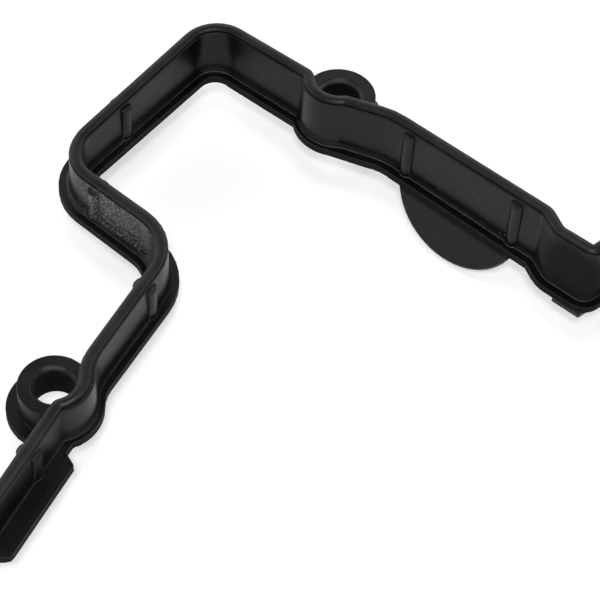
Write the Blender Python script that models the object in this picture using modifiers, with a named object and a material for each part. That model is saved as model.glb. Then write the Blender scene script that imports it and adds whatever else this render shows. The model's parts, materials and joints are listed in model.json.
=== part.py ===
"""Valve cover gasket: one moulded rubber ring.

A flat flange runs round a closed loop and carries a thin standing wall with a
rounded bead on top. The wall wraps around two bolt bosses, half-round ribs
stiffen it in pairs, and a half-moon plug hangs below one run of the flange.

The plan is drawn in the middle of the wall, clockwise seen from above, with the
flange's top face at height zero. Positive offsets point out of the loop.
"""

import math
from dataclasses import dataclass

import bmesh
import bpy
from mathutils import Matrix, Vector

MM = 0.001

# Cross section of the ring
FLANGE_THICKNESS = 2.9 * MM
FLANGE_OUTSIDE = 6.25 * MM
FLANGE_INSIDE = 5.5 * MM
STEP_HEIGHT = 0.4 * MM
STEP_OUTSIDE = 4.0 * MM
STEP_INSIDE = 3.1 * MM
STEP_LEDGE = 0.15 * MM
FOOT_FILLET_HEIGHT = 2.0 * MM
WALL_FOOT_THICKNESS = 4.8 * MM
WALL_TOP_THICKNESS = 4.4 * MM
WALL_EDGE_CHAMFER = 0.2 * MM
BEAD_WIDTH = 3.7 * MM
BEAD_NECK_WIDTH = 3.0 * MM
BEAD_HEIGHT = 1.5 * MM

# Height of the wall at the plan's zero point, and its rise across the plan
WALL_HEIGHT = 19.15 * MM
RISE_ALONG_X = 0.0273
RISE_ALONG_Y = 0.0422

# Corner radii of the wall's middle line
SHARPEST_RADIUS = 0.4 * MM
CUSP_RADIUS = 1.6 * MM
NARROW_CUSP_RADIUS = 0.9 * MM
NECK_RADIUS = 17.8 * MM
SHOULDER_RADIUS = 17.2 * MM
HIP_RADIUS = 13.8 * MM
LEFT_CORNER_RADIUS = 11.4 * MM
SWEEP_RADIUS = 24.0 * MM
JOG_RADIUS = 5.5 * MM
TURN_RADIUS = 1.5 * MM
FAR_CORNER_RADIUS = 15.0 * MM

# Bolt bosses
BOSS_HEIGHT = 10.6 * MM
SIDE_BOSS_CENTRE = (-31.8 * MM, -78.9 * MM)
SIDE_BOSS_WRAP = 9.55 * MM
SIDE_BOSS_RADIUS = 11.0 * MM
SIDE_BOSS_BORE = 6.0 * MM
SIDE_BOSS_SWELL = 0.9 * MM
SIDE_BOSS_PAD = 15.0 * MM
TOP_BOSS_CENTRE = (-38.6 * MM, 69.0 * MM)
TOP_BOSS_WRAP = 10.9 * MM
TOP_BOSS_RADIUS = 12.2 * MM
TOP_BOSS_BORE = 6.7 * MM
TOP_BOSS_SWELL = 0.0 * MM
TOP_BOSS_PAD = 15.3 * MM
BORE_DRAFT = 0.9 * MM
FUNNEL_DEPTH = 1.3 * MM
FUNNEL_FLARE = 1.1 * MM

# Ribs on both faces of the wall
RIB_WIDTH = 4.8 * MM
RIB_STAND = 1.7 * MM
RIB_DROP = 1.4 * MM
RIB_CAP_FALL = 0.8 * MM

# Tab along the inner edge of the side run: its reach from the wall's middle, and
# where its slanted ends start and stop along the run
TAB_REACH = 9.8 * MM
TAB_TOP_START = 42.0 * MM
TAB_TOP_FOOT = 37.4 * MM
TAB_TOP_TIP = 34.7 * MM
TAB_LOW_TIP = -0.8 * MM
TAB_LOW_FOOT = -3.4 * MM
TAB_NOTCH_RADIUS = 2.0 * MM
TAB_TIP_RADIUS = 0.8 * MM
TAB_LOW_RADIUS = 2.2 * MM

# Half-moon plug
PLUG_RADIUS = 24.2 * MM
PLUG_CENTRE_HEIGHT = 5.35 * MM
PLUG_ALONG = 32.4 * MM
PLUG_FACE_OFFSET = 5.9 * MM
PLUG_THICKNESS = 6.0 * MM
PLUG_LEAN = math.radians(12.9)
PLUG_CHAMFER = 0.85 * MM

# Thicker foot under the flange's turn
FOOT_DEPTH = 1.9 * MM
FOOT_INSET = 0.3 * MM
FOOT_START = 4.9 * MM
FOOT_CORNER = 15.2 * MM
FOOT_SIDE_LENGTH = 9.8 * MM

# Fineness of curved stretches
TURN_STEP = math.radians(10.0)
FILLET_STEPS = 2
BEAD_STEPS = 6
ROUND_SEGMENTS = 48
BORE_SEGMENTS = 40
RIB_ARC_STEPS = 8
CORNER_STEPS = 4
PLUG_ARC_STEPS = 24

# Overlap of joined shapes, and how far cutters run past a face
OVERLAP = 1.0 * MM
WELD_DISTANCE = 0.01 * MM
FLAT_ANGLE = math.radians(1.0)
SHARP_ANGLE = math.radians(35.0)

RUBBER_COLOUR = (0.028, 0.028, 0.030, 1.0)
RUBBER_ROUGHNESS = 0.55


def left_of(heading):
    """Unit vector that points to the left of a heading."""
    return Vector((-math.sin(heading), math.cos(heading)))


def wrapped(angle):
    """The same angle between -pi and pi."""
    return (angle + math.pi) % (2 * math.pi) - math.pi


@dataclass(frozen=True)
class Run:
    """Straight stretch of the wall's middle line between two plan points, in mm."""

    start: tuple
    end: tuple

    @property
    def origin(self):
        return Vector(self.start) * MM

    @property
    def heading(self):
        way = Vector(self.end) - Vector(self.start)
        return math.atan2(way.y, way.x)

    @property
    def forward(self):
        return Vector((math.cos(self.heading), math.sin(self.heading)))

    @property
    def outward(self):
        return left_of(self.heading)

    def at(self, along, offset):
        """Plan point at a distance along the run and an offset out of the loop."""
        return self.origin + self.forward * along + self.outward * offset


@dataclass(frozen=True)
class Wrap:
    """Arc of the wall's middle line around a bolt boss.

    The wall's inner face bulges by the swell, and the flange ends at the boss's pad.
    """

    centre: tuple
    radius: float
    swell: float
    pad: float

    def edge(self, offset):
        """Radius of the arc at an offset from the middle line."""
        radius = self.radius - offset
        if -offset > BEAD_WIDTH / 2:
            radius += self.swell
        return min(radius, self.pad)


@dataclass(frozen=True)
class Turn:
    """Arc between two headings. The side is +1 for a left turn and -1 for a right turn."""

    centre: Vector
    radius: float
    side: int
    start: float
    end: float

    def point(self, share):
        heading = self.start + (self.end - self.start) * share
        return self.centre - left_of(heading) * (self.side * self.radius)


SIDE_LOW = Run((-15.5, -127.2), (-24.1, -86.0))
SIDE_HIGH = Run((-27.8, -70.0), (-37.2, -16.3))
SHOULDER = Run((-37.2, -16.3), (-88.9, -13.6))
LEFT = Run((-88.9, -13.6), (-89.4, 63.0))
TOP_LEFT = Run((-89.4, 63.0), (-51.0, 63.0))
BOSS_EXIT = Run((-27.0, 62.5), (-15.0, 66.2))
TOP_MIDDLE = Run((-15.0, 66.2), (47.7, 64.0))
JOG = Run((47.7, 64.0), (54.8, 59.9))
TOP_RIGHT = Run((54.8, 59.9), (67.6, 59.7))
RISER = Run((67.6, 59.7), (75.2, 88.0))
FAR_TOP = Run((75.2, 88.0), (147.0, 88.0))
FAR_SIDE = Run((147.0, 88.0), (147.0, -175.0))
FAR_LOW = Run((147.0, -175.0), (-5.5, -175.0))

# The loop in order, with the corner radius that leads into each stretch
ROUTE = (
    (FAR_CORNER_RADIUS, SIDE_LOW),
    (CUSP_RADIUS, Wrap(SIDE_BOSS_CENTRE, SIDE_BOSS_WRAP, SIDE_BOSS_SWELL, SIDE_BOSS_PAD)),
    (NECK_RADIUS, SIDE_HIGH),
    (SHOULDER_RADIUS, SHOULDER),
    (HIP_RADIUS, LEFT),
    (LEFT_CORNER_RADIUS, TOP_LEFT),
    (CUSP_RADIUS, Wrap(TOP_BOSS_CENTRE, TOP_BOSS_WRAP, TOP_BOSS_SWELL, TOP_BOSS_PAD)),
    (NARROW_CUSP_RADIUS, BOSS_EXIT),
    (SWEEP_RADIUS, TOP_MIDDLE),
    (JOG_RADIUS, JOG),
    (JOG_RADIUS, TOP_RIGHT),
    (TURN_RADIUS, RISER),
    (FAR_CORNER_RADIUS, FAR_TOP),
    (FAR_CORNER_RADIUS, FAR_SIDE),
    (FAR_CORNER_RADIUS, FAR_LOW),
)

# Runs that carry ribs, and the distances of the ribs along them
RIBS = (
    (SIDE_LOW, (26.5 * MM,)),
    (SIDE_HIGH, (35.6 * MM,)),
    (SHOULDER, (34.2 * MM,)),
    (LEFT, (29.8 * MM,)),
    (TOP_MIDDLE, (9.0 * MM, 52.9 * MM)),
)


def corner_turn(before, after, radius, offset):
    """Fillet between two runs at an offset from the middle line."""
    side = 1 if before.forward.cross(after.forward) > 0 else -1
    fillet = max(radius - side * offset, SHARPEST_RADIUS)
    shift = offset + side * fillet
    first = before.at(0.0, shift)
    second = after.at(0.0, shift)
    reach = (second - first).cross(after.forward) / before.forward.cross(after.forward)
    swing = wrapped(after.heading - before.heading)
    return Turn(first + before.forward * reach, fillet, side, before.heading, before.heading + swing)


def boss_turn(run, wrap, radius, offset, entering):
    """Right-hand fillet between a run and the arc around a boss."""
    fillet = max(radius + offset, SHARPEST_RADIUS)
    arc = wrap.edge(offset)
    middle = Vector(wrap.centre)
    rise = (run.origin - middle).dot(run.outward) + offset - fillet
    reach = math.sqrt(max((arc + fillet) ** 2 - rise ** 2, 0.0))
    if entering:
        reach = -reach
    centre = middle + run.outward * rise + run.forward * reach
    touch = (middle - centre).normalized()
    touch_heading = math.atan2(-touch.x, touch.y)
    if entering:
        return Turn(centre, fillet, -1, run.heading, run.heading + wrapped(touch_heading - run.heading))
    return Turn(centre, fillet, -1, touch_heading, touch_heading + wrapped(run.heading - touch_heading))


def loop_turns(offset):
    """Every turn of the closed loop at an offset, in order."""
    turns = []
    for index, (radius, stretch) in enumerate(ROUTE):
        before = ROUTE[index - 1][1]
        if isinstance(stretch, Wrap):
            turns.append(boss_turn(before, stretch, radius, offset, True))
        elif isinstance(before, Wrap):
            leaving = boss_turn(stretch, before, radius, offset, False)
            arriving = turns[-1]
            swing = (leaving.start - arriving.end) % (2 * math.pi)
            arc = Turn(Vector(before.centre), before.edge(offset), 1, arriving.end, arriving.end + swing)
            turns.append(arc)
            turns.append(leaving)
        else:
            turns.append(corner_turn(before, stretch, radius, offset))
    return turns


def outline(offset):
    """Plan points of the loop at an offset. Every offset gives the same number of points."""
    points = []
    for middle, turn in zip(loop_turns(0.0), loop_turns(offset)):
        steps = max(2, round(abs(middle.end - middle.start) / TURN_STEP))
        on_boss = middle.side > 0 and any(
            isinstance(stretch, Wrap) and (Vector(stretch.centre) - middle.centre).length < WELD_DISTANCE
            for _, stretch in ROUTE
        )
        shares = range(1, steps) if on_boss else range(steps + 1)
        points.extend(turn.point(step / steps) for step in shares)
    return points


def top_height(point):
    """Height of the bead's crown above the flange at a plan point."""
    return WALL_HEIGHT + RISE_ALONG_X * point.x + RISE_ALONG_Y * point.y


def half_section(flange, step):
    """One side of the cross section from the flange's underside up to the wall's foot.

    Each point is an offset from the wall's middle and a height above the flange.
    """
    wall = WALL_FOOT_THICKNESS / 2
    run = step - STEP_LEDGE - wall
    points = [(flange, -FLANGE_THICKNESS), (flange, 0.0), (step, 0.0), (step, STEP_HEIGHT)]
    for index in range(FILLET_STEPS + 1):
        angle = math.pi / 2 * index / FILLET_STEPS
        lift = FOOT_FILLET_HEIGHT * (1 - math.cos(angle))
        points.append((wall + run * (1 - math.sin(angle)), STEP_HEIGHT + lift))
    return points


def crown_section():
    """The wall's top and the bead, from the outer face to the inner face.

    Each point is an offset from the wall's middle and a height below the crown.
    """
    face = WALL_TOP_THICKNESS / 2
    edge = [(face, -BEAD_HEIGHT - WALL_EDGE_CHAMFER), (face - WALL_EDGE_CHAMFER, -BEAD_HEIGHT)]
    half_width = BEAD_WIDTH / 2
    half_height = BEAD_HEIGHT / 2
    low = -math.acos(BEAD_NECK_WIDTH / BEAD_WIDTH)
    bead = [(BEAD_NECK_WIDTH / 2, -BEAD_HEIGHT)]
    for index in range(BEAD_STEPS + 1):
        angle = low + (math.pi - 2 * low) * index / BEAD_STEPS
        bead.append((half_width * math.cos(angle), half_height * (math.sin(angle) - 1)))
    bead.append((-BEAD_NECK_WIDTH / 2, -BEAD_HEIGHT))
    return edge + bead + [(-offset, drop) for offset, drop in reversed(edge)]


def ring_mesh():
    """Closed mesh of the ring: the cross section's points lofted along the loop."""
    rings = []
    for offset, height in half_section(FLANGE_OUTSIDE, STEP_OUTSIDE):
        rings.append([(point.x, point.y, height) for point in outline(offset)])
    for offset, drop in crown_section():
        rings.append([(point.x, point.y, top_height(point) + drop) for point in outline(offset)])
    for offset, height in reversed(half_section(FLANGE_INSIDE, STEP_INSIDE)):
        rings.append([(point.x, point.y, height) for point in outline(-offset)])

    mesh = bmesh.new()
    loops = [[mesh.verts.new(point) for point in ring] for ring in rings]
    for index, lower in enumerate(loops):
        upper = loops[(index + 1) % len(loops)]
        for number, vert in enumerate(lower):
            following = (number + 1) % len(lower)
            mesh.faces.new((vert, lower[following], upper[following], upper[number]))
    bmesh.ops.recalc_face_normals(mesh, faces=mesh.faces)
    return mesh


class Workshop:
    """Makes the scene's objects and keeps the ring and its tools in their collections."""

    def __init__(self):
        for old in list(bpy.data.objects):
            bpy.data.objects.remove(old)
        self.parts = self.collection("valve_cover_gasket")
        self.tools = self.collection("gasket_tools")
        self.base = bpy.data.objects.new("gasket_frame", None)
        self.parts.objects.link(self.base)

    @staticmethod
    def collection(name):
        group = bpy.data.collections.new(name)
        bpy.context.scene.collection.children.link(group)
        return group

    def add(self, name, data, group):
        """Object of a mesh or curve, in a collection and carried by the part's frame."""
        item = bpy.data.objects.new(name, data)
        group.objects.link(item)
        item.parent = self.base
        return item

    def tool(self, name, mesh):
        """Helper solid that is joined to the ring or cut from it."""
        data = bpy.data.meshes.new(name)
        mesh.to_mesh(data)
        mesh.free()
        item = self.add(name, data, self.tools)
        item.hide_render = True
        item.display_type = "WIRE"
        return item

    def plate(self, name, points, low, high):
        """Flat outline between two heights, as a closed tool."""
        curve = bpy.data.curves.new(name, "CURVE")
        curve.dimensions = "2D"
        curve.fill_mode = "BOTH"
        curve.extrude = (high - low) / 2
        spline = curve.splines.new("POLY")
        spline.points.add(len(points) - 1)
        for spot, point in zip(spline.points, points):
            spot.co = (point.x, point.y, 0.0, 1.0)
        spline.use_cyclic_u = True
        drawn = self.add(name + "_outline", curve, self.tools)
        drawn.location.z = (high + low) / 2
        bpy.context.view_layer.update()
        evaluated = drawn.evaluated_get(bpy.context.evaluated_depsgraph_get())
        data = bpy.data.meshes.new_from_object(evaluated)
        mesh = bmesh.new()
        mesh.from_mesh(data)
        bmesh.ops.remove_doubles(mesh, verts=mesh.verts, dist=WELD_DISTANCE)
        bmesh.ops.dissolve_limit(mesh, angle_limit=FLAT_ANGLE, verts=mesh.verts, edges=mesh.edges)
        bmesh.ops.transform(mesh, matrix=drawn.matrix_world, verts=mesh.verts)
        bpy.data.objects.remove(drawn)
        bpy.data.meshes.remove(data)
        return self.tool(name, mesh)

    def disc(self, name, centre, low, high, low_radius, high_radius, segments):
        """Upright cylinder or cone between two heights."""
        mesh = bmesh.new()
        place = Matrix.Translation((centre[0], centre[1], (low + high) / 2))
        bmesh.ops.create_cone(
            mesh,
            cap_ends=True,
            segments=segments,
            radius1=low_radius,
            radius2=high_radius,
            depth=high - low,
            matrix=place,
        )
        return self.tool(name, mesh)


def apply_tool(ring, tool, operation):
    """Boolean of a tool on the ring."""
    modifier = ring.modifiers.new(tool.name, "BOOLEAN")
    modifier.solver = "EXACT"
    modifier.operation = operation
    modifier.object = tool


def rounded(corners):
    """Closed outline with an arc at each corner. A corner is a point and a radius."""
    points = []
    for index, (corner, radius) in enumerate(corners):
        before = (corners[index - 1][0] - corner).normalized()
        after = (corners[(index + 1) % len(corners)][0] - corner).normalized()
        half = before.angle(after) / 2
        centre = corner + (before + after).normalized() * (radius / math.sin(half))
        arm = corner + before * (radius / math.tan(half)) - centre
        swing = math.copysign(math.pi - 2 * half, after.cross(before))
        steps = CORNER_STEPS if radius > 0 else 0
        for step in range(steps + 1):
            turn = Matrix.Rotation(swing * step / CORNER_STEPS, 2)
            points.append(centre + turn @ arm)
    return points


def rib_tool(shop, name, run, along, side):
    """Rounded upright rib on one face of the wall, with a slanted flat cap under the bead."""
    half = RIB_WIDTH / 2
    face = WALL_TOP_THICKNESS / 2
    root = [run.at(along + half, 0.0), run.at(along - half, 0.0)]
    front = []
    for index in range(RIB_ARC_STEPS + 1):
        angle = math.pi * index / RIB_ARC_STEPS
        stand = face + RIB_STAND * math.sin(angle)
        front.append(run.at(along - half * math.cos(angle), side * stand))
    crown = top_height(run.at(along, 0.0)) - BEAD_HEIGHT - RIB_DROP
    rib = shop.plate(name, root + front, -OVERLAP, crown)
    for vert in rib.data.vertices:
        if vert.co.z > 0:
            stand = (vert.co.xy - run.origin).dot(run.outward) * side - face
            vert.co.z -= RIB_CAP_FALL * stand / RIB_STAND
    return rib


def tab_tool(shop):
    """Wider stretch of the flange along the inner side of the low side run."""
    corners = [
        (SIDE_LOW.at(TAB_TOP_START, 0.0), 0.0),
        (SIDE_LOW.at(TAB_TOP_START, -FLANGE_INSIDE), 0.0),
        (SIDE_LOW.at(TAB_TOP_FOOT, -FLANGE_INSIDE), TAB_NOTCH_RADIUS),
        (SIDE_LOW.at(TAB_TOP_TIP, -TAB_REACH), TAB_TIP_RADIUS),
        (SIDE_LOW.at(TAB_LOW_TIP, -TAB_REACH), TAB_LOW_RADIUS),
        (SIDE_LOW.at(TAB_LOW_FOOT, -FLANGE_INSIDE), 0.0),
        (SIDE_LOW.at(TAB_LOW_FOOT, 0.0), 0.0),
    ]
    return shop.plate("tab", rounded(corners), -FLANGE_THICKNESS, 0.0)


def plug_tool(shop):
    """Half-moon plate that leans in under the middle top run."""
    top = -FLANGE_THICKNESS / 2
    rise = top - PLUG_CENTRE_HEIGHT
    half_angle = math.acos(rise / PLUG_RADIUS) - math.pi / 2
    points = []
    for index in range(PLUG_ARC_STEPS + 1):
        angle = math.pi + half_angle + (math.pi - 2 * half_angle) * index / PLUG_ARC_STEPS
        lift = PLUG_CENTRE_HEIGHT + PLUG_RADIUS * math.sin(angle)
        points.append(Vector((PLUG_RADIUS * math.cos(angle), lift)))
    plug = shop.plate("plug", points, -PLUG_THICKNESS, 0.0)
    place = TOP_MIDDLE.at(PLUG_ALONG, -PLUG_FACE_OFFSET)
    plug.matrix_local = (
        Matrix.Translation((place.x, place.y, 0.0))
        @ Matrix.Rotation(TOP_MIDDLE.heading, 4, "Z")
        @ Matrix.Rotation(math.pi / 2 - PLUG_LEAN, 4, "X")
    )
    chamfer = plug.modifiers.new("chamfer", "BEVEL")
    chamfer.width = PLUG_CHAMFER
    chamfer.segments = 1
    chamfer.limit_method = "ANGLE"
    return plug


def foot_tool(shop):
    """Thicker stretch of the flange's inner edge, under its turn."""
    edge = FOOT_INSET - FLANGE_INSIDE
    corner = TOP_RIGHT.at(FOOT_CORNER, edge)
    side_end = corner + RISER.forward * FOOT_SIDE_LENGTH
    points = [
        TOP_RIGHT.at(FOOT_START, 0.0),
        TOP_RIGHT.at(FOOT_START, edge),
        corner,
        side_end,
        side_end + RISER.outward * FLANGE_INSIDE,
    ]
    return shop.plate("foot", points, -FLANGE_THICKNESS - FOOT_DEPTH, -FLANGE_THICKNESS / 2)


def boss_tools(shop, name, centre, radius, bore, pad):
    """Tools of a bolt boss: those that are joined to the ring, and those that cut it."""
    joined = [
        shop.disc(name + "_pad", centre, -FLANGE_THICKNESS, 0.0, pad, pad, ROUND_SEGMENTS),
        shop.disc(name + "_tube", centre, -OVERLAP, BOSS_HEIGHT, radius, radius, ROUND_SEGMENTS),
    ]
    slope = FUNNEL_FLARE / FUNNEL_DEPTH
    cut = [
        shop.disc(
            name + "_bore", centre, -FLANGE_THICKNESS - OVERLAP, BOSS_HEIGHT + OVERLAP,
            bore + BORE_DRAFT, bore, BORE_SEGMENTS,
        ),
        shop.disc(
            name + "_funnel", centre, BOSS_HEIGHT - FUNNEL_DEPTH, BOSS_HEIGHT + OVERLAP,
            bore, bore + slope * (FUNNEL_DEPTH + OVERLAP), BORE_SEGMENTS,
        ),
    ]
    return joined, cut


def rubber():
    """Black moulded rubber."""
    material = bpy.data.materials.new("rubber")
    material.use_nodes = True
    shader = material.node_tree.nodes["Principled BSDF"]
    shader.inputs["Base Color"].default_value = RUBBER_COLOUR
    shader.inputs["Roughness"].default_value = RUBBER_ROUGHNESS
    shader.inputs["Metallic"].default_value = 0.0
    return material


def plug_depth():
    """Lowest height of the leaning plug."""
    reach = (PLUG_RADIUS - PLUG_CENTRE_HEIGHT) * math.cos(PLUG_LEAN)
    back = (PLUG_THICKNESS - PLUG_CHAMFER) * math.sin(PLUG_LEAN)
    return -reach - back


def main():
    shop = Workshop()
    data = bpy.data.meshes.new("gasket")
    loft = ring_mesh()
    loft.to_mesh(data)
    loft.free()
    data.shade_smooth()
    data.set_sharp_from_angle(angle=SHARP_ANGLE)
    data.materials.append(rubber())
    ring = shop.add("gasket", data, shop.parts)

    joined = [tab_tool(shop), plug_tool(shop), foot_tool(shop)]
    for number, (run, stations) in enumerate(RIBS):
        for place, along in enumerate(stations):
            for side, face in ((1, "out"), (-1, "in")):
                joined.append(rib_tool(shop, f"rib_{number}_{place}_{face}", run, along, side))
    side_joined, side_cut = boss_tools(
        shop, "side_boss", SIDE_BOSS_CENTRE, SIDE_BOSS_RADIUS, SIDE_BOSS_BORE, SIDE_BOSS_PAD
    )
    top_joined, top_cut = boss_tools(
        shop, "top_boss", TOP_BOSS_CENTRE, TOP_BOSS_RADIUS, TOP_BOSS_BORE, TOP_BOSS_PAD
    )
    for tool in joined + side_joined + top_joined:
        apply_tool(ring, tool, "UNION")
    for tool in side_cut + top_cut:
        apply_tool(ring, tool, "DIFFERENCE")

    edge = outline(FLANGE_OUTSIDE)
    across = [point.x for point in edge]
    along = [point.y for point in edge]
    shop.base.location = (
        -(min(across) + max(across)) / 2,
        -(min(along) + max(along)) / 2,
        -plug_depth(),
    )


main()
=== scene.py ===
"""Dressed scene of a valve cover gasket: one moulded rubber ring on a white floor.

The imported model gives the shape. The ring shown here is a merged copy of it whose
moulded edges are rounded, with a procedural rubber finish. It hides the plain node.
"""

import json
import logging
import math
from dataclasses import dataclass, field
from enum import Enum
from typing import Any, Mapping, Optional, Sequence, Union

import bmesh
import bpy
from mathutils import Matrix, Vector


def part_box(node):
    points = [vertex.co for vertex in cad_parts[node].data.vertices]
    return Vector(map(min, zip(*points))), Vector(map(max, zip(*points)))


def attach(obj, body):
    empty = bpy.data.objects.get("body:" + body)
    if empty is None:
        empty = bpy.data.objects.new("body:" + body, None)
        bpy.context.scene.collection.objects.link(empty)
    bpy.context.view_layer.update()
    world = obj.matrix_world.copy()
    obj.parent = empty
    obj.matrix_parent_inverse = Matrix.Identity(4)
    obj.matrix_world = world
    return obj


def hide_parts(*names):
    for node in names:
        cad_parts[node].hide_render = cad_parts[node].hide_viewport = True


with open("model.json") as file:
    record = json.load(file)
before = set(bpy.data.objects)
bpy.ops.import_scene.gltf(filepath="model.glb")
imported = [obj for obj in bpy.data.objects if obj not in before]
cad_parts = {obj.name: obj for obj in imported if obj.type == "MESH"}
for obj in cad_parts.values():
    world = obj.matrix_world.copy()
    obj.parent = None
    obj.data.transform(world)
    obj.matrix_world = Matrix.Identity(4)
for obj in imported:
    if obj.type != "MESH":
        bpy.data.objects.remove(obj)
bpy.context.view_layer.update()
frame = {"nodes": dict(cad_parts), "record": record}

LOG = logging.getLogger("gasket_scene")
NOISE_MIDDLE = 0.5

Edges = list[bmesh.types.BMEdge]
Pair = tuple[float, float]
Socket = Union[int, str]
Triple = tuple[float, float, float]


class CadName(Enum):
    """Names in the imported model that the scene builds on."""

    NODE = "gasket"
    BODY = "root"
    SLOT = "rubber"
    UNDERSIDE = "seat_face"
    SIDE_HOLE = "side_boss_bore"
    TOP_HOLE = "top_boss_bore"


@dataclass(frozen=True)
class Moulding:
    """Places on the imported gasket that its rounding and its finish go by.

    Attributes:
        underside: Height of the flange's underside.
        axes: Place in plan of each bolt hole's axis.
        flange: The flange's thickness.
        step: Rise of the small step at the wall's foot.
    """

    underside: float
    axes: Mapping[CadName, Pair]
    flange: float = 0.0029
    step: float = 0.0004

    @classmethod
    def of(cls, record: Mapping[str, Any]) -> "Moulding":
        """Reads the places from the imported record.

        Args:
            record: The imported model's record.

        Returns:
            The gasket's places.
        """
        mounts = {mount["name"]: mount["pos_m"] for mount in record["mounts"]}
        openings = record["physics"]["openings"]
        boxes = {opening["name"]: opening["box_m"] for opening in openings}
        axes = {}
        for hole in (CadName.SIDE_HOLE, CadName.TOP_HOLE):
            low, high = (Vector(corner) for corner in boxes[hole.value])
            axes[hole] = tuple(((low + high) / 2).xy)
        return cls(mounts[CadName.UNDERSIDE.value][2], axes)

    @property
    def flange_top(self) -> float:
        """Height of the flange's top."""
        return self.underside + self.flange

    @property
    def step_top(self) -> float:
        """Height of the step's top."""
        return self.flange_top + self.step


class Signal:
    """A shader socket that plain Python arithmetic can be written on."""

    def __init__(self, shader: "Shader", socket: bpy.types.NodeSocket) -> None:
        """Wraps a socket.

        Args:
            shader: The shader whose tree holds the socket.
            socket: The output socket that carries the value.
        """
        self.shader = shader
        self.socket = socket

    def _math(self, operation: str, first: Any, second: Any) -> "Signal":
        """Adds a Math node.

        Args:
            operation: The Math node's operation.
            first: Its first value, a number or a signal.
            second: Its second value, a number or a signal.

        Returns:
            The node's result.
        """
        values = {0: first, 1: second}
        return self.shader.add("ShaderNodeMath", values, operation=operation)

    def __add__(self, other: Any) -> "Signal":
        """Sum of two values."""
        return self._math("ADD", self, other)

    def __radd__(self, other: Any) -> "Signal":
        """Sum of two values."""
        return self._math("ADD", other, self)

    def __sub__(self, other: Any) -> "Signal":
        """Difference of two values."""
        return self._math("SUBTRACT", self, other)

    def __rsub__(self, other: Any) -> "Signal":
        """Difference of two values."""
        return self._math("SUBTRACT", other, self)

    def __mul__(self, other: Any) -> "Signal":
        """Product of two values."""
        return self._math("MULTIPLY", self, other)

    def __lt__(self, other: Any) -> "Signal":
        """One where the value is below another, else zero."""
        return self._math("LESS_THAN", self, other)

    def __gt__(self, other: Any) -> "Signal":
        """One where the value is above another, else zero."""
        return self._math("GREATER_THAN", self, other)

    def eased(self, low: float, high: float) -> "Signal":
        """Smooth step of the value.

        Args:
            low: Value at which the step starts, giving zero.
            high: Value at which the step ends, giving one.

        Returns:
            The step, from zero to one.
        """
        return self.shader.add(
            "ShaderNodeMapRange",
            {"Value": self, "From Min": low, "From Max": high},
            interpolation_type="SMOOTHSTEP",
        )

    def part(self, name: str) -> "Signal":
        """One coordinate of a vector.

        Args:
            name: X, Y or Z.

        Returns:
            The coordinate.
        """
        return self.shader.add("ShaderNodeSeparateXYZ", {0: self}, name)


class Shader:
    """Node tree of a material or a world, filled one node at a time."""

    # Places of the Mix node's sockets for colours, which share their names.
    MIX_SHARE = 0
    MIX_FIRST = 6
    MIX_SECOND = 7
    MIX_RESULT = 2

    def __init__(self, tree: bpy.types.NodeTree) -> None:
        """Empties the tree.

        Args:
            tree: The tree that the nodes go into.
        """
        self.tree = tree
        tree.nodes.clear()

    def node(
        self, kind: str, values: Optional[dict[Socket, Any]] = None, **settings: Any
    ) -> bpy.types.Node:
        """Adds a node.

        Args:
            kind: The node's type.
            values: Numbers, colours or signals for its inputs, by name or place.
            **settings: Its properties, which are set first.

        Returns:
            The node.
        """
        made = self.tree.nodes.new(kind)
        for name, value in settings.items():
            setattr(made, name, value)
        for key, value in (values or {}).items():
            if isinstance(value, Signal):
                self.tree.links.new(value.socket, made.inputs[key])
            else:
                made.inputs[key].default_value = value
        return made

    def add(
        self,
        kind: str,
        values: Optional[dict[Socket, Any]] = None,
        output: Socket = 0,
        **settings: Any,
    ) -> Signal:
        """Adds a node and gives one of its outputs.

        Args:
            kind: The node's type.
            values: Numbers, colours or signals for its inputs, by name or place.
            output: Name or place of the output that is wanted.
            **settings: Its properties.

        Returns:
            That output.
        """
        return Signal(self, self.node(kind, values, **settings).outputs[output])

    def blend(
        self, share: Signal, first: Union[Signal, Triple], second: Triple
    ) -> Signal:
        """Lays a colour over another.

        Args:
            share: How much of the second colour shows.
            first: The colour below.
            second: The colour on top.

        Returns:
            The mixed colour.
        """
        below = first if isinstance(first, Signal) else opaque(first)
        values = {
            self.MIX_SHARE: share,
            self.MIX_FIRST: below,
            self.MIX_SECOND: opaque(second),
        }
        return self.add("ShaderNodeMix", values, self.MIX_RESULT, data_type="RGBA")


def opaque(colour: Triple) -> tuple[float, float, float, float]:
    """Gives a colour full alpha.

    Args:
        colour: Red, green and blue.

    Returns:
        The colour as a colour socket takes it.
    """
    return (*colour, 1.0)


@dataclass(frozen=True)
class BoltHole:
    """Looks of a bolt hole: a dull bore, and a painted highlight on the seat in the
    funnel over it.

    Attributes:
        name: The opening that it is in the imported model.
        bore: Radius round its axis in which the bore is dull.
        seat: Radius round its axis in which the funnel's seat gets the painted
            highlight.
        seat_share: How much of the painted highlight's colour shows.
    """

    name: CadName
    bore: float
    seat: float
    seat_share: float


@dataclass(frozen=True)
class Band:
    """Band of heights above the flange's underside.

    Attributes:
        low: Its lower end.
        high: Its upper end.
    """

    low: float
    high: float

    def mask(self, height: Signal) -> Signal:
        """Marks the band.

        Args:
            height: Height above the flange's underside.

        Returns:
            One in the band and zero elsewhere.
        """
        return (height > self.low) * (height < self.high)


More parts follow.
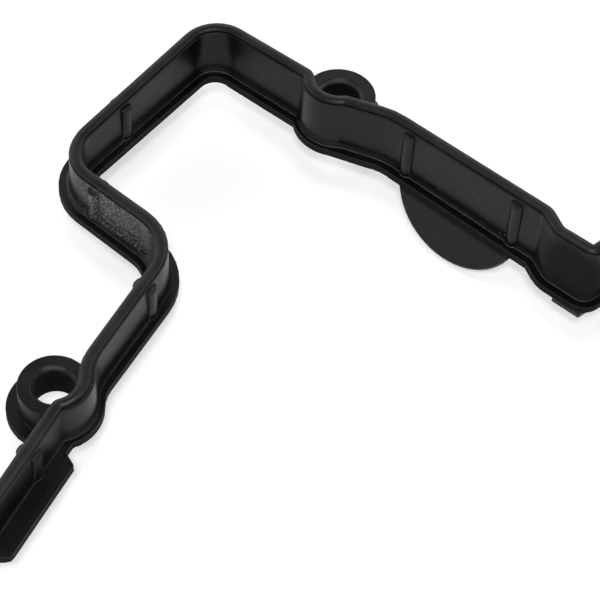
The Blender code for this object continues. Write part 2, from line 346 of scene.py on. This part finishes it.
@dataclass(frozen=True)
class Patch:
    """Round patch of the surface that fades out.

    Attributes:
        centre: Its middle.
        full: Distance from the middle at which it starts to fade.
        reach: Distance at which it is gone.
    """

    centre: Triple
    full: float
    reach: float

    def mask(self, place: Signal) -> Signal:
        """Marks the patch.

        Args:
            place: Coordinates on the piece.

        Returns:
            One in the patch's middle, falling to zero at its reach.
        """
        values = {0: place, 1: self.centre}
        away = place.shader.add(
            "ShaderNodeVectorMath", values, "Value", operation="DISTANCE"
        )
        return 1.0 - away.eased(self.full, self.reach)


@dataclass(frozen=True)
class Noise:
    """Noise on the piece.

    Attributes:
        scale: Features in a metre.
        detail: Finer layers that it has.
        roughness: Strength of the finer layers.
    """

    scale: float
    detail: float
    roughness: float

    def on(self, place: Signal) -> Signal:
        """Adds the noise.

        Args:
            place: Coordinates on the piece.

        Returns:
            The noise, around NOISE_MIDDLE.
        """
        values = {
            "Vector": place,
            "Scale": self.scale,
            "Detail": self.detail,
            "Roughness": self.roughness,
        }
        return place.shader.add("ShaderNodeTexNoise", values)


@dataclass(frozen=True)
class Dust:
    """Specks in the cells of a scattered grid, over parts of the surface.

    Attributes:
        scale: Cells in a metre.
        size: A speck's radius, as a share of a cell.
        rarity: Share of the cells that stay clean.
        spread: Noise that says where dust lies.
        spread_levels: Its values where the dust starts and where it is full.
    """

    scale: float = 620.0
    size: float = 0.085
    rarity: float = 0.74
    spread: Noise = Noise(scale=45.0, detail=2.0, roughness=0.5)
    spread_levels: Pair = (0.48, 0.60)

    def mask(self, place: Signal) -> Signal:
        """Marks the specks.

        Args:
            place: Coordinates on the piece.

        Returns:
            Up to one on a speck and zero elsewhere.
        """
        shader = place.shader
        values = {"Vector": place, "Scale": self.scale}
        cells = shader.node("ShaderNodeTexVoronoi", values)
        near = Signal(shader, cells.outputs["Distance"]) < self.size
        draw = Signal(shader, cells.outputs["Color"])
        chosen = shader.add("ShaderNodeSeparateColor", {0: draw}) > self.rarity
        return near * chosen * self.spread.on(place).eased(*self.spread_levels)


@dataclass(frozen=True)
class Relief:
    """Small unevenness of the surface.

    Attributes:
        noise: Noise that gives its shape.
        depth: How deep it goes.
        strength: How much of it shows.
    """

    noise: Noise
    depth: float
    strength: float

    def normal(self, height: Signal, below: Optional[Signal] = None) -> Signal:
        """Bends the surface's normal.

        Args:
            height: The unevenness, from its noise.
            below: Normal of a coarser relief that this one lies on.

        Returns:
            The bent normal.
        """
        values = {
            "Strength": self.strength,
            "Distance": self.depth,
            "Height": height,
        }
        if below is not None:
            values["Normal"] = below
        return height.shader.add("ShaderNodeBump", values)


@dataclass(frozen=True)
class Surface:
    """Signals that tell where on the moulding a point lies.

    Attributes:
        place: Coordinates on the piece.
        height: Height above the flange's underside.
        mottle: Noise that clouds the rubber.
        grain: Noise of the fine grain.
        steep: One on the standing faces.
        talc: One on the talced stretch of the wall.
        bored: One inside the bolt holes' bores.
    """

    place: Signal
    height: Signal
    mottle: Signal
    grain: Signal
    steep: Signal
    talc: Signal
    bored: Signal


@dataclass(frozen=True)
class RubberFinish:
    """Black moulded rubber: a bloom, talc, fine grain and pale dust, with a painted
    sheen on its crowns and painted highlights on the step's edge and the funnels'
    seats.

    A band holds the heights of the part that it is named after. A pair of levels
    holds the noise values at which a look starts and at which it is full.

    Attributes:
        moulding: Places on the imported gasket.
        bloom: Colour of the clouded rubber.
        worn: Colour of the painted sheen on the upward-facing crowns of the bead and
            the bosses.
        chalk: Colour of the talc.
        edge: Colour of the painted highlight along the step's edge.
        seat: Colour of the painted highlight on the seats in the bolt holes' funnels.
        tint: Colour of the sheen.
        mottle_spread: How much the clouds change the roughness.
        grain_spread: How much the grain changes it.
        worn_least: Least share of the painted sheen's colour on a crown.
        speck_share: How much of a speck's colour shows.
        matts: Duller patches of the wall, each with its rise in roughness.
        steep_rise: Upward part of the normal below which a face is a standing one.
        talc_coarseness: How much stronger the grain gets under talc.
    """

    moulding: Moulding
    name: str = "moulded_rubber"

    black: Triple = (0.0014, 0.0013, 0.0014)
    bloom: Triple = (0.0050, 0.0047, 0.0049)
    dust: Triple = (0.30, 0.30, 0.31)
    # Painted sheen on the upward-facing crowns.
    worn: Triple = (0.0120, 0.0118, 0.0126)
    chalk: Triple = (0.150, 0.146, 0.148)
    # Painted highlights: on the step's edge, and on the funnels' seats.
    edge: Triple = (0.150, 0.147, 0.150)
    seat: Triple = (0.038, 0.0378, 0.0382)
    tint: Triple = (1.0, 0.93, 0.96)
    specular: float = 0.32

    roughness: float = 0.31
    mottle_spread: float = 0.18
    grain_spread: float = 0.10
    bore_roughness: float = 0.95
    rim_roughness: float = 0.85

    mottle: Noise = Noise(scale=70.0, detail=5.0, roughness=0.60)
    bloom_levels: Pair = (0.45, 0.75)
    worn_levels: Pair = (0.35, 0.65)
    worn_least: float = 0.55
    specks: Dust = Dust()
    speck_share: float = 0.8
    chalking: Noise = Noise(scale=1500.0, detail=2.0, roughness=0.6)
    chalk_levels: Pair = (0.47, 0.63)
    ripple: Relief = Relief(Noise(190.0, 3.0, 0.50), depth=0.00012, strength=0.30)
    grain: Relief = Relief(Noise(2100.0, 3.0, 0.65), depth=0.00003, strength=0.32)
    talc_coarseness: float = 3.0

    talc: Patch = Patch((-0.0885, 0.0230, 0.0265), full=0.012, reach=0.023)
    matts: Sequence[tuple[Patch, float]] = (
        (Patch((0.0335, 0.1005, 0.0300), full=0.008, reach=0.016), 0.55),
        (Patch((-0.0500, -0.0540, 0.0280), full=0.010, reach=0.022), 0.13),
    )
    holes: Sequence[BoltHole] = (
        BoltHole(CadName.SIDE_HOLE, bore=0.0071, seat=0.0080, seat_share=0.30),
        BoltHole(CadName.TOP_HOLE, bore=0.0078, seat=0.0087, seat_share=0.90),
    )
    rim_band: Band = Band(0.000026, 0.002626)
    step_band: Band = Band(0.002976, 0.003236)
    wall_band: Band = Band(0.003876, 0.033376)
    bore_band: Band = Band(-0.001, 0.012076)
    funnel_band: Band = Band(0.012076, 0.013376)
    crown_band: Band = Band(0.013976, 0.033376)
    steep_rise: float = 0.4

    def made(self) -> bpy.types.Material:
        """Builds the material.

        Returns:
            The rubber, on Object coordinates.
        """
        material = bpy.data.materials.new(self.name)
        material.use_nodes = True
        shader = Shader(material.node_tree)
        surface = self._surface(shader)
        values = {
            "Base Color": self._colour(surface),
            "Roughness": self._roughness(surface),
            "Specular IOR Level": self.specular,
            "Specular Tint": opaque(self.tint),
            "Normal": self._normal(surface),
        }
        rubber = shader.add("ShaderNodeBsdfPrincipled", values)
        shader.node("ShaderNodeOutputMaterial", {"Surface": rubber})
        return material

    def _surface(self, shader: Shader) -> Surface:
        """Tells the parts of the moulding apart.

        Args:
            shader: The shader that asks.

        Returns:
            The marks of the parts, and the noises that several looks share.
        """
        place = shader.add("ShaderNodeTexCoord", output="Object")
        height = place.part("Z") - self.moulding.underside
        rise = shader.add("ShaderNodeTexCoord", output="Normal").part("Z")
        steep = (rise * rise) < self.steep_rise**2
        inside = sum(self._within(place, hole, hole.bore) for hole in self.holes)
        return Surface(
            place=place,
            height=height,
            mottle=self.mottle.on(place),
            grain=self.grain.noise.on(place),
            steep=steep,
            talc=self.talc.mask(place) * steep * self.wall_band.mask(height),
            bored=inside * self.bore_band.mask(height),
        )

    def _within(self, place: Signal, hole: BoltHole, radius: float) -> Signal:
        """Marks an upright cylinder round a bolt hole's axis.

        Args:
            place: Coordinates on the piece.
            hole: The bolt hole.
            radius: The cylinder's radius.

        Returns:
            One inside the cylinder and zero outside.
        """
        middle = self.moulding.axes[hole.name]
        across = place.part("X") - middle[0]
        along = place.part("Y") - middle[1]
        return (across * across + along * along) < radius**2

    def _colour(self, surface: Surface) -> Signal:
        """Lays the colours over each other, from the black rubber up.

        Args:
            surface: The parts of the moulding.

        Returns:
            The colour.
        """
        place, height, mottle = surface.place, surface.height, surface.mottle
        blend = place.shader.blend
        colour = blend(mottle.eased(*self.bloom_levels), self.black, self.bloom)
        dusty = self.specks.mask(place) * self.speck_share
        colour = blend(dusty, colour, self.dust)

        # Painted sheen: the upward-facing crowns are lighter, unevenly with the
        # mottle noise.
        crown = (1.0 - surface.steep) * self.crown_band.mask(height)
        uneven_sheen = mottle.eased(*self.worn_levels) * (1.0 - self.worn_least)
        colour = blend(crown * (self.worn_least + uneven_sheen), colour, self.worn)

        chalky = surface.talc * self.chalking.on(place).eased(*self.chalk_levels)
        colour = blend(chalky, colour, self.chalk)

        # Painted highlight: a pale line on the step's riser, where its edge catches
        # the light.
        line = self.step_band.mask(height) * (1.0 - surface.bored)
        colour = blend(line, colour, self.edge)

        # Painted highlight: a pale ring on each funnel's seat, where it catches the
        # light.
        flared = self.funnel_band.mask(height)
        for hole in self.holes:
            painted_seat_highlight = self._within(place, hole, hole.seat) * flared * hole.seat_share
            colour = blend(painted_seat_highlight, colour, self.seat)
        return colour

    def _roughness(self, surface: Surface) -> Signal:
        """Makes the sheen uneven, and duller on the rim, the patches and the bores.

        Args:
            surface: The parts of the moulding.

        Returns:
            The roughness.
        """
        rough = (
            self.roughness
            + (surface.mottle - NOISE_MIDDLE) * self.mottle_spread
            + (surface.grain - NOISE_MIDDLE) * self.grain_spread
        )
        for patch, rise in self.matts:
            rough = rough + patch.mask(surface.place) * surface.steep * rise
        rim = self.rim_band.mask(surface.height)
        rough = rough + rim * (self.rim_roughness - self.roughness)
        return rough + surface.bored * (self.bore_roughness - self.roughness)

    def _normal(self, surface: Surface) -> Signal:
        """Puts the moulding's ripple and the rubber's grain on the surface.

        Args:
            surface: The parts of the moulding.

        Returns:
            The bent normal.
        """
        rippled = self.ripple.normal(self.ripple.noise.on(surface.place))
        coarser = 1.0 + surface.talc * self.talc_coarseness
        return self.grain.normal(surface.grain * coarser, rippled)


@dataclass(frozen=True)
class FloorFinish:
    """White floor that shows plain white round the object and keeps its shadow.

    Attributes:
        colour: Its paint.
        seen_lift: Glow that only the camera sees.
    """

    name: str = "white_floor"
    colour: Triple = (0.73, 0.73, 0.73)
    seen_lift: float = 0.33

    def made(self) -> bpy.types.Material:
        """Builds the material.

        Returns:
            The floor's material.
        """
        material = bpy.data.materials.new(self.name)
        material.use_nodes = True
        shader = Shader(material.node_tree)
        seen = shader.add("ShaderNodeLightPath", output="Is Camera Ray")
        paint = shader.add("ShaderNodeBsdfDiffuse", {"Color": opaque(self.colour)})
        glow = shader.add("ShaderNodeEmission", {"Strength": seen * self.seen_lift})
        both = shader.add("ShaderNodeAddShader", {0: paint, 1: glow})
        shader.node("ShaderNodeOutputMaterial", {"Surface": both})
        return material


@dataclass(frozen=True)
class MouldedRing:
    """The gasket itself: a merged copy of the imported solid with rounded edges.

    Attributes:
        moulding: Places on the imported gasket.
        weld: Distance within which corners are one.
        flat: Angle within which two triangles are one flat face.
        skew: How far such a face may be from a rectangle.
        sharp: Angle from which an edge is a sharp one.
        shortest: Length below which an edge isn't rounded.
        shortest_on_step: The same on the step's top.
        level_slack: How far from a level an edge may be and still lie on it.
        level_normal: Upward part of the normal from which a face is level.
        top_rounding: Reach of the rounding of the rim, the bosses and the rest.
        under_rounding: Reach of the rounding under the flange.
        step_rounding: Reach of the rounding on the step's top.
        rounding_steps: Faces across a rounding.
        evening: Weight of the large faces in the evened normals.
    """

    moulding: Moulding
    name: str = "moulded_ring"
    weld: float = 0.00001
    flat: float = math.radians(2.0)
    skew: float = math.radians(60.0)
    sharp: float = math.radians(38.0)
    shortest: float = 0.0005
    shortest_on_step: float = 0.0002
    level_slack: float = 0.00002
    level_normal: float = 0.9999
    top_rounding: float = 0.00022
    under_rounding: float = 0.00035
    step_rounding: float = 0.00018
    rounding_steps: int = 2
    evening: int = 80

    def build(self, node: bpy.types.Object) -> bpy.types.Object:
        """Makes the shown ring.

        Args:
            node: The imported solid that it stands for.

        Returns:
            The ring, with its finish on.
        """
        mesh = bmesh.new()
        mesh.from_mesh(node.data)
        bmesh.ops.remove_doubles(mesh, verts=mesh.verts, dist=self.weld)
        bmesh.ops.join_triangles(
            mesh,
            faces=mesh.faces,
            angle_face_threshold=self.flat,
            angle_shape_threshold=self.skew,
        )
        self._round_edges(mesh)
        bmesh.ops.recalc_face_normals(mesh, faces=mesh.faces)
        data = bpy.data.meshes.new(self.name)
        mesh.to_mesh(data)
        mesh.free()
        self._smooth(data)
        data.materials.clear()
        data.materials.append(RubberFinish(self.moulding).made())
        ring = bpy.data.objects.new(self.name, data)
        bpy.context.scene.collection.objects.link(ring)
        evened = ring.modifiers.new("evened_normals", "WEIGHTED_NORMAL")
        evened.keep_sharp = True
        evened.weight = self.evening
        return ring

    def _smooth(self, data: bpy.types.Mesh) -> None:
        """Shades the curved faces smooth and the level ones flat.

        Args:
            data: The ring's mesh.
        """
        data.shade_smooth()
        data.set_sharp_from_angle(angle=self.sharp)
        for face in data.polygons:
            face.use_smooth = abs(face.normal.z) < self.level_normal

    def _round_edges(self, mesh: bmesh.types.BMesh) -> None:
        """Rounds the clean edges: under the flange, on the step, then the rest.

        Args:
            mesh: The merged solid.
        """
        under = self._edges_at(mesh, self.moulding.underside, self.shortest)
        self._bevel(mesh, under, self.under_rounding)
        level = self._edges_at(mesh, self.moulding.step_top, self.shortest_on_step)
        step = [edge for edge in level if edge.is_convex]
        self._bevel(mesh, step, self.step_rounding)
        clean = self._clean_edges(mesh, self.shortest)
        rest = [edge for edge in clean if not self._stays_crisp(edge)]
        self._bevel(mesh, rest, self.top_rounding)
        counts = (len(under), len(step), len(rest))
        LOG.info("rounded %d edges under, %d on the step, %d others", *counts)

    def _bevel(self, mesh: bmesh.types.BMesh, edges: Edges, width: float) -> None:
        """Rounds edges.

        Args:
            mesh: The mesh that they belong to.
            edges: The edges.
            width: How far the rounding reaches from the edge.
        """
        bmesh.ops.bevel(
            mesh,
            geom=edges,
            offset=width,
            offset_type="OFFSET",
            segments=self.rounding_steps,
            profile=0.5,
            affect="EDGES",
            material=-1,
            clamp_overlap=False,
            loop_slide=False,
        )

    def _edges_at(
        self, mesh: bmesh.types.BMesh, height: float, shortest: float
    ) -> Edges:
        """Finds the clean edges at a height.

        Args:
            mesh: The merged solid.
            height: The height of both their ends.
            shortest: Length below which an edge is left out.

        Returns:
            The edges.
        """
        clean = self._clean_edges(mesh, shortest)
        return [edge for edge in clean if self._lies_at(edge, height)]

    def _clean_edges(self, mesh: bmesh.types.BMesh, shortest: float) -> Edges:
        """Finds the sharp edges that can be rounded without touching a junction.

        Args:
            mesh: The merged solid.
            shortest: Length below which an edge, or one that meets it, is left out.

        Returns:
            The edges, in the mesh's order.
        """
        sharp = [
            edge
            for edge in mesh.edges
            if edge.is_manifold and edge.calc_face_angle() > self.sharp
        ]
        known = set(sharp)
        return [edge for edge in sharp if self._is_clean(edge, known, shortest)]

    @staticmethod
    def _is_clean(
        edge: bmesh.types.BMEdge, sharp: set[bmesh.types.BMEdge], shortest: float
    ) -> bool:
        """Tells whether a long edge runs on into at most one sharp edge at each end.

        Args:
            edge: The edge.
            sharp: Every sharp edge of the solid.
            shortest: Length below which an edge is too short.

        Returns:
            True if it can be rounded.
        """
        meeting = [set(vert.link_edges) for vert in edge.verts]
        if any(len(edges & sharp) > 2 for edges in meeting):
            return False
        lengths = (other.calc_length() for edges in meeting for other in edges)
        return min(lengths) >= shortest

    def _lies_at(self, edge: bmesh.types.BMEdge, height: float) -> bool:
        """Tells whether an edge is level.

        Args:
            edge: The edge.
            height: The height that is asked for.

        Returns:
            True if both its ends are at that height.
        """
        gaps = (abs(vert.co.z - height) for vert in edge.verts)
        return all(gap < self.level_slack for gap in gaps)

    def _stays_crisp(self, edge: bmesh.types.BMEdge) -> bool:
        """Tells whether an edge is left alone when the rest are rounded.

        Args:
            edge: The edge.

        Returns:
            True in the step's corners, on its top and on the flange's underside.
        """
        if self._lies_at(edge, self.moulding.flange_top):
            return not edge.is_convex
        levels = (self.moulding.step_top, self.moulding.underside)
        return any(self._lies_at(edge, level) for level in levels)


@dataclass(frozen=True)
class SoftBox:
    """A rectangular studio lamp.

    Attributes:
        name: The lamp's name.
        place: Where it hangs.
        target: What it is aimed at.
        width: Its width.
        height: Its height.
        brightness: How bright its face is.
        mirrored: Whether the rubber mirrors it.
    """

    name: str
    place: Triple
    target: Triple
    width: float
    height: float
    brightness: float
    mirrored: bool = True

    def build(self) -> bpy.types.Object:
        """Makes the lamp.

        Returns:
            The lamp's object, aimed at its target.
        """
        data = bpy.data.lights.new(self.name, "AREA")
        data.shape = "RECTANGLE"
        data.size = self.width
        data.size_y = self.height
        data.energy = self.brightness * math.pi * self.width * self.height
        lamp = bpy.data.objects.new(self.name, data)
        lamp.location = self.place
        lamp.visible_glossy = self.mirrored
        way = Vector(self.target) - Vector(self.place)
        lamp.rotation_euler = way.to_track_quat("-Z", "Y").to_euler()
        bpy.context.scene.collection.objects.link(lamp)
        return lamp


@dataclass(frozen=True)
class Studio:
    """White floor, pale surroundings and soft lamps.

    Attributes:
        white: Colour of the surroundings.
        floor_reach: Half the floor's width.
        floor_gap: Gap between the floor and the object's lowest point.
        far_light: Brightness of the surroundings beyond the object.
        near_light: Their brightness on the camera's side.
        high_light: Their brightness overhead.
        near_way: Level direction towards the camera.
        near_turn: Share of that direction where the far side ends and the near
            side starts.
        high_turn: Upward share of a direction where the sides end and the
            overhead part starts.
        finish: The floor's finish.
        lamps: The lamps.
    """

    white: Triple = (1.0, 1.0, 1.0)
    floor_reach: float = 3.0
    floor_gap: float = 0.0002
    far_light: float = 1.12
    near_light: float = 0.12
    high_light: float = 0.08
    near_way: Triple = (0.58, -0.81, 0.0)
    near_turn: tuple[float, float] = (-0.1, 0.55)
    high_turn: tuple[float, float] = (0.71, 0.83)
    finish: FloorFinish = field(default_factory=FloorFinish)
    lamps: Sequence[SoftBox] = (
        SoftBox(
            name="key_lamp",
            place=(0.33, -0.49, 1.06),
            target=(0.0, 0.0, 0.0),
            width=0.15,
            height=0.15,
            brightness=92.0,
            mirrored=False,
        ),
        SoftBox(
            name="front_lamp",
            place=(0.45, -0.63, 0.55),
            target=(-0.03, 0.04, 0.0),
            width=1.7,
            height=0.32,
            brightness=3.2,
        ),
        SoftBox(
            name="overhead_lamp",
            place=(-0.03, 0.06, 1.0),
            target=(-0.03, 0.04, 0.0),
            width=0.38,
            height=0.38,
            brightness=5.0,
        ),
    )

    def build_floor(self, lowest: float) -> bpy.types.Object:
        """Makes the floor.

        Args:
            lowest: Height of the object's lowest point.

        Returns:
            The floor's object.
        """
        mesh = bmesh.new()
        bmesh.ops.create_grid(mesh, x_segments=1, y_segments=1, size=self.floor_reach)
        down = Matrix.Translation((0.0, 0.0, lowest - self.floor_gap))
        bmesh.ops.transform(mesh, matrix=down, verts=mesh.verts)
        data = bpy.data.meshes.new("floor")
        mesh.to_mesh(data)
        mesh.free()
        data.materials.append(self.finish.made())
        floor = bpy.data.objects.new("floor", data)
        bpy.context.scene.collection.objects.link(floor)
        return floor

    def build_world(self) -> bpy.types.World:
        """Makes the surroundings, which the camera sees as plain white.

        They light the object, and it mirrors them: bright on the far side, dim on
        the camera's side and dark overhead.

        Returns:
            The world.
        """
        world = bpy.data.worlds.new("pale_studio")
        world.use_nodes = True
        shader = Shader(world.node_tree)
        way = shader.add("ShaderNodeTexCoord", output="Generated")
        values = {0: way, 1: self.near_way}
        toward = shader.add(
            "ShaderNodeVectorMath", values, "Value", operation="DOT_PRODUCT"
        )
        near = toward.eased(*self.near_turn)
        level = self.far_light + near * (self.near_light - self.far_light)
        overhead = way.part("Z").eased(*self.high_turn)
        level = level + overhead * (self.high_light - level)
        seen = shader.add("ShaderNodeLightPath", output="Is Camera Ray")
        strength = seen + (1.0 - seen) * level
        values = {"Color": opaque(self.white), "Strength": strength}
        light = shader.add("ShaderNodeBackground", values)
        shader.node("ShaderNodeOutputWorld", {"Surface": light})
        bpy.context.scene.world = world
        return world

    def build_lamps(self) -> list[bpy.types.Object]:
        """Makes the lamps.

        Returns:
            The lamps' objects.
        """
        return [lamp.build() for lamp in self.lamps]


@dataclass(frozen=True)
class PhotoCamera:
    """Camera at the photograph's angle, distance and framing.

    Attributes:
        name: The camera's name.
        place: Where it stands.
        target: The point in the middle of the picture.
        roll: Its turn about the line of sight.
        lens: Focal length in millimetres.
        sensor: Width of its sensor in millimetres.
        nearest: Distance from which it shows things.
        farthest: Distance up to which it does.
    """

    name: str = "photo_camera"
    place: Triple = (0.20396, -0.28170, 0.54682)
    target: Triple = (-0.02884, 0.04350, 0.019524)
    roll: float = math.radians(3.672)
    lens: float = 125.95
    sensor: float = 36.0
    nearest: float = 0.01
    farthest: float = 50.0

    def build(self) -> bpy.types.Object:
        """Makes the camera and gives it to the scene.

        Returns:
            The camera's object.
        """
        data = bpy.data.cameras.new(self.name)
        data.lens = self.lens
        data.sensor_width = self.sensor
        data.clip_start = self.nearest
        data.clip_end = self.farthest
        camera = bpy.data.objects.new(self.name, data)
        way = Vector(self.target) - Vector(self.place)
        turn = way.to_track_quat("-Z", "Y").to_matrix().to_4x4()
        rolled = turn @ Matrix.Rotation(self.roll, 4, "Z")
        camera.matrix_world = Matrix.Translation(self.place) @ rolled
        bpy.context.scene.collection.objects.link(camera)
        bpy.context.scene.camera = camera
        return camera


def main() -> None:
    """Builds the gasket, its surroundings and the camera."""
    logging.basicConfig(level=logging.INFO, format="%(message)s")
    node = frame["nodes"][CadName.NODE.value]
    PhotoCamera().build()
    studio = Studio()
    studio.build_floor(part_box(CadName.NODE.value)[0].z)
    studio.build_world()
    studio.build_lamps()
    bpy.context.scene.view_settings.view_transform = "Standard"

    ring = MouldedRing(Moulding.of(frame["record"])).build(node)
    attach(ring, CadName.BODY.value)
    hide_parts(CadName.NODE.value)
    LOG.info("%s: %d faces", ring.name, len(ring.data.polygons))


if __name__ == "__main__":
    main()
